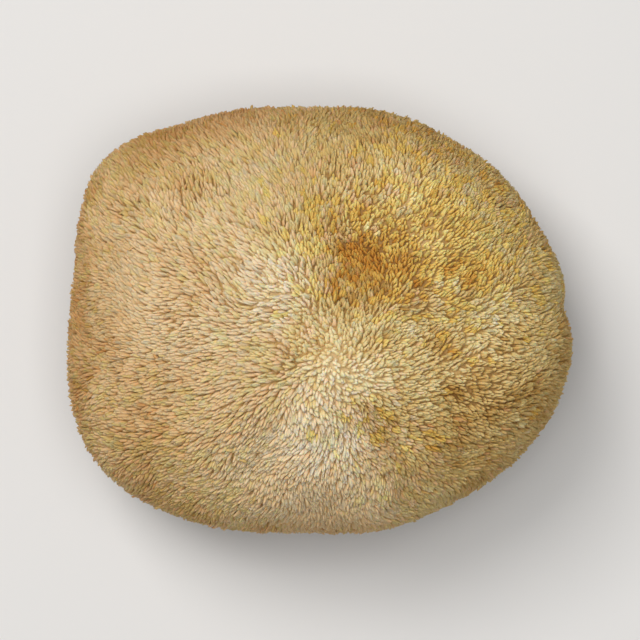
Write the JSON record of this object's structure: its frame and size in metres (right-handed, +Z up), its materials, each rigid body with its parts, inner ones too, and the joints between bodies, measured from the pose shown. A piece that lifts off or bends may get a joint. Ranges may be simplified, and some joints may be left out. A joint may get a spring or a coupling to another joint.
{
  "type": "dried lion's mane mushroom",
  "caption": "Dried lion's mane mushroom, a lumpy ball coated in short blunt spines, cut off flat at its foot so that it rests on the cut.",
  "frame": {"origin": "middle of the flat cut face of the foot, on the surface that the mushroom rests on", "axes": "+Z up from the cut to the crown, +X along the longest width, +Y along the shorter width"},
  "size_m": [0.0792, 0.0669, 0.0506],
  "materials": {
    "spine_coat": "matt, straw-coloured coat of short dried spines, amber between them",
    "cut_foot": "matt, leathery tan foot with a paler fibrous cut"
  },
  "bodies": {
    "root": {"mushroom": "spine_coat"}
  },
  "joints": []
}
